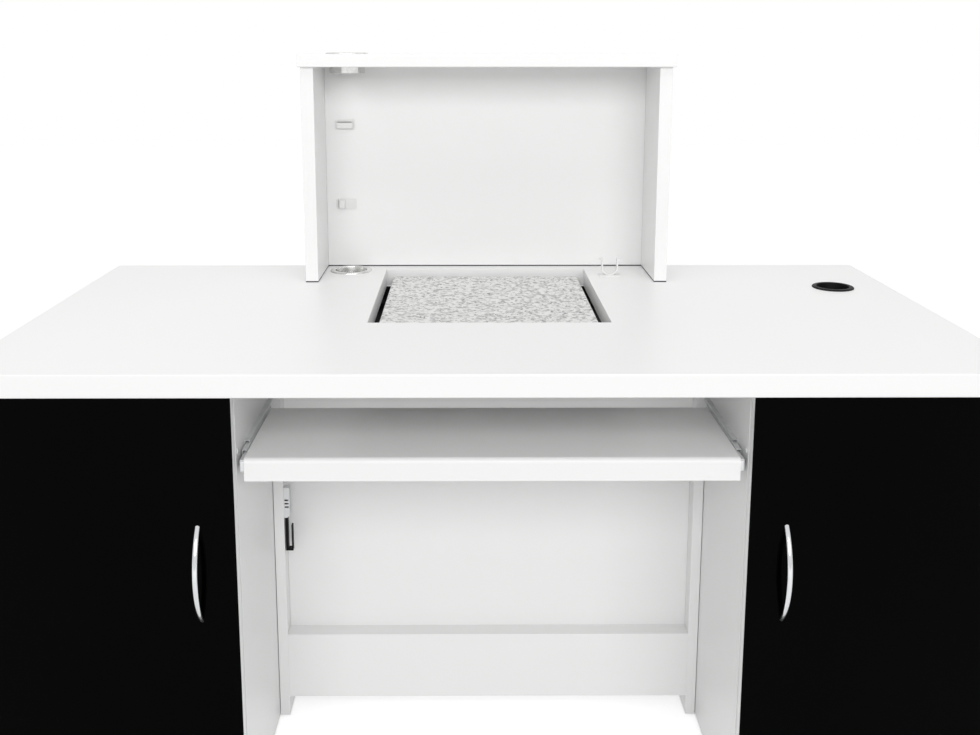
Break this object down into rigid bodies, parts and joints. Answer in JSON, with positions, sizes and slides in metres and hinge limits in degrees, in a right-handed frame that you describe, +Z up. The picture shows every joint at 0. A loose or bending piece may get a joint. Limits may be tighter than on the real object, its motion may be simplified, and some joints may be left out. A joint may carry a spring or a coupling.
{
  "type": "weighing workstation",
  "caption": "Desk on two door pedestals with a bridge shelf, a keyboard tray on slides, and a stone plate on its own stand for a balance.",
  "frame": {"origin": "on the floor, under the middle of the worktop", "axes": "+X to the user's right along the worktop, +Y to the back, +Z up"},
  "size_m": [1.6, 0.8, 1.238],
  "materials": {
    "white_laminate": "white melamine-faced board, satin",
    "granite": "light grey speckled granite, honed",
    "rubber": "matt black rubber",
    "black_board": "black melamine-faced board, matt",
    "glide_plastic": "grey moulded plastic",
    "brushed_outlet": "turned and brushed steel",
    "black_plastic": "black moulded plastic",
    "white_plastic": "white moulded plastic",
    "zinc_steel": "bright zinc-plated steel",
    "brass_cage": "brass cage with steel balls",
    "black_gloss": "high-gloss black laminate",
    "chrome": "polished chrome"
  },
  "bodies": {
    "root": {"worktop": "white_laminate", "stone_plate": "granite", "stone_rests": "rubber", "stand_side_left": "white_laminate", "stand_side_right": "white_laminate", "stand_deck": "black_board", "stand_front_panel": "white_laminate", "stand_lower_rail": "white_laminate", "stand_rear_rail": "white_laminate", "left_outer_side": "white_laminate", "left_inner_side": "white_laminate", "left_bottom": "white_laminate", "left_shelf": "white_laminate", "left_back": "white_laminate", "left_top_rails": "white_laminate", "right_outer_side": "white_laminate", "right_inner_side": "white_laminate", "right_bottom": "white_laminate", "right_shelf": "white_laminate", "right_back": "white_laminate", "right_top_rails": "white_laminate", "shelf_pins": "zinc_steel", "plinth_boards": "white_laminate", "tie_board": "white_laminate", "floor_glides": "glide_plastic", "bridge_seal": "rubber", "bridge_side_left": "white_laminate", "bridge_side_right": "white_laminate", "bridge_top": "white_laminate", "bridge_back": "white_laminate", "desk_outlet": "brushed_outlet", "shelf_outlet": "brushed_outlet", "black_outlet": "black_plastic", "cable_clip_upper": "white_plastic", "cable_clip_lower": "white_plastic", "cable_fork": "white_plastic", "cable_hook_bracket": "zinc_steel", "cable_hook": "black_plastic", "cable_hook_screws": "zinc_steel", "slide_outers": "zinc_steel", "wall_screws": "zinc_steel", "hinge_frame_leaves": "zinc_steel", "hinge_pins": "zinc_steel", "door_catches": "white_plastic"},
    "left_door": {"left_door_board": "white_laminate", "left_door_facing": "black_gloss", "left_handle": "chrome", "left_handle_screws": "zinc_steel", "left_hinge_leaves": "zinc_steel", "left_strike_plate": "zinc_steel"},
    "right_door": {"right_door_board": "white_laminate", "right_door_facing": "black_gloss", "right_handle": "chrome", "right_handle_screws": "zinc_steel", "right_hinge_leaves": "zinc_steel", "right_strike_plate": "zinc_steel"},
    "slide_middle": {"slide_middles": "zinc_steel", "slide_ball_cages": "brass_cage"},
    "tray": {"tray_board": "white_laminate", "slide_inners": "zinc_steel"}
  },
  "joints": [
    {"name": "left_door_hinge", "type": "hinge", "parent": "root", "child": "left_door", "pos_m": [-0.7946, -0.336, 0.3775], "axis": [0, 0, -1], "range_deg": [0, 105]},
    {"name": "right_door_hinge", "type": "hinge", "parent": "root", "child": "right_door", "pos_m": [0.7946, -0.336, 0.3775], "axis": [0, 0, 1], "range_deg": [0, 105]},
    {"name": "tray_slide", "type": "slide", "parent": "root", "child": "tray", "axis": [0, -1, 0], "range_m": [-0.042, 0.146]},
    {"name": "middle_slide", "type": "slide", "parent": "root", "child": "slide_middle", "axis": [0, -1, 0], "range_m": [-0.021, 0.073]}
  ],
  "couplings": [
    {"joint": "middle_slide", "follows": "tray_slide", "ratio": 0.5}
  ]
}
